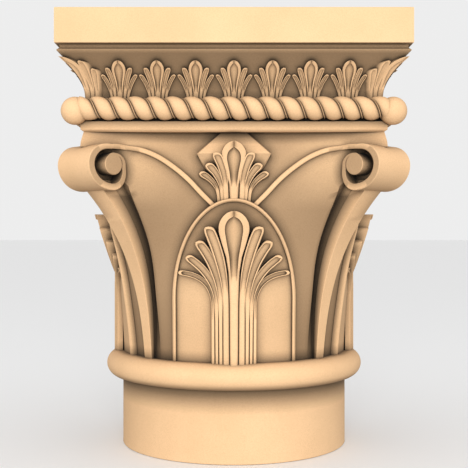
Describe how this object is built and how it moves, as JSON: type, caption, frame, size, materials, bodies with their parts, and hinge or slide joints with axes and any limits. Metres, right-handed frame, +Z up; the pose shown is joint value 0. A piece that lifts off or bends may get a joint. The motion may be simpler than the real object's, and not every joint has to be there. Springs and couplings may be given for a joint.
{
  "type": "column capital",
  "caption": "Carved capital for a round column: square slab over a leaf frieze, rope moulding, corner volutes and palmettes on a round neck.",
  "frame": {"origin": "centre of the round underside, on the plane it rests on", "axes": "+Z up along the column's axis; -Y towards the front face; the four faces look along X and Y and the volutes stand on the diagonals"},
  "size_m": [0.4188, 0.4188, 0.5375],
  "materials": {
    "stone": "fine-grained warm buff stone, rubbed matt"
  },
  "bodies": {
    "root": {"capital": "stone"}
  },
  "joints": []
}
